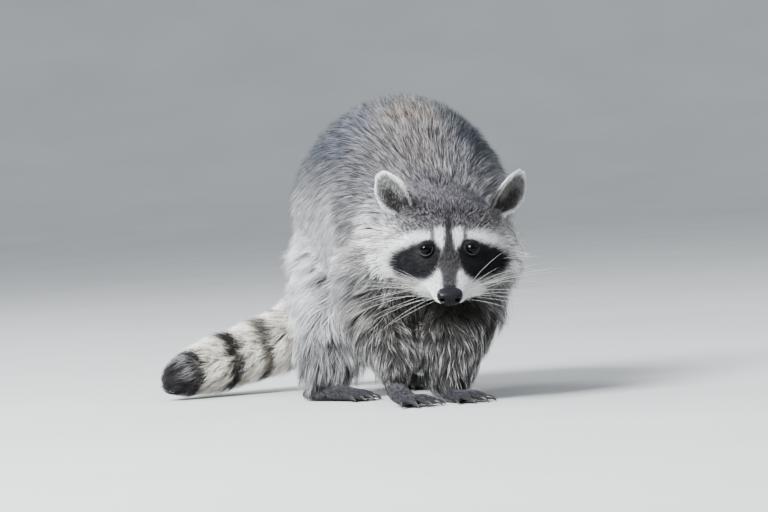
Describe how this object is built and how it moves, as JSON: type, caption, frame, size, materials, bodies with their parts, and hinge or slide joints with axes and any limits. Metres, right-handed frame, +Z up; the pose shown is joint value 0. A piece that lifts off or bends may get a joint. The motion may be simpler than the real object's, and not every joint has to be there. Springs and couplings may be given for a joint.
{
  "type": "raccoon",
  "caption": "Life-size still raccoon standing with its back arched and head lowered, masked face turned to the viewer, ringed tail laid on the floor.",
  "frame": {"origin": "middle of the model's box at floor level", "axes": "+Z up, the trunk runs along Y with the rump towards +Y, +X to the animal's left"},
  "size_m": [0.3336, 0.5156, 0.316],
  "materials": {
    "body_coat": "long grizzled grey-brown fur, light tips over dark underfur",
    "face_coat": "short dense fur with a black mask and white brows and muzzle",
    "leg_coat": "medium grey fur with pale wispy tips",
    "tail_coat": "bushy fur in dark and cream rings with a dark tip",
    "ears": "very short fur, white rim and dark hollow",
    "feet": "dark grey skin under very short fur, dark claws",
    "nose": "moist black pad with fine grain",
    "eyes": "dark brown wet eyeball"
  },
  "bodies": {
    "root": {"ear_left": "ears", "ear_right": "ears", "eye_left": "eyes", "eye_right": "eyes", "front_left_leg": "leg_coat", "front_left_paw": "feet", "front_right_leg": "leg_coat", "front_right_paw": "feet", "head": "face_coat", "hind_left_foot": "feet", "hind_left_leg": "leg_coat", "hind_right_foot": "feet", "hind_right_leg": "leg_coat", "jaw": "face_coat", "neck": "body_coat", "nose": "nose", "tail_base": "tail_coat", "tail_middle": "tail_coat", "tail_tip": "tail_coat", "trunk": "body_coat"}
  },
  "joints": []
}
